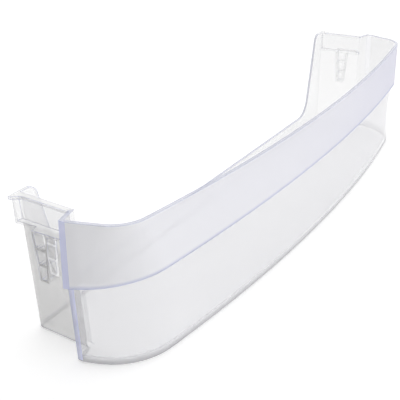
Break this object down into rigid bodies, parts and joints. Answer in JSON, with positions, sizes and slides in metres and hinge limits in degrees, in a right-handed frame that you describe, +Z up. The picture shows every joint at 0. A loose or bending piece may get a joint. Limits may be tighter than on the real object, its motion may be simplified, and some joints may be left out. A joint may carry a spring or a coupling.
{
  "type": "fridge door shelf",
  "caption": "Clear moulded refrigerator door shelf: shallow tray with a bowed front, a frosted band along its upper edge and hook frames at the ends.",
  "frame": {"origin": "middle of the floor's underside, halfway between the rear plane and the front of the band", "axes": "+X along the length, +Y to the rear (the door), +Z up"},
  "size_m": [0.4964, 0.1077, 0.1015],
  "materials": {
    "clear_plastic": "clear polystyrene, polished, with a fine frosted texture on the outer face of the band"
  },
  "bodies": {
    "root": {"door_shelf": "clear_plastic"}
  },
  "joints": []
}
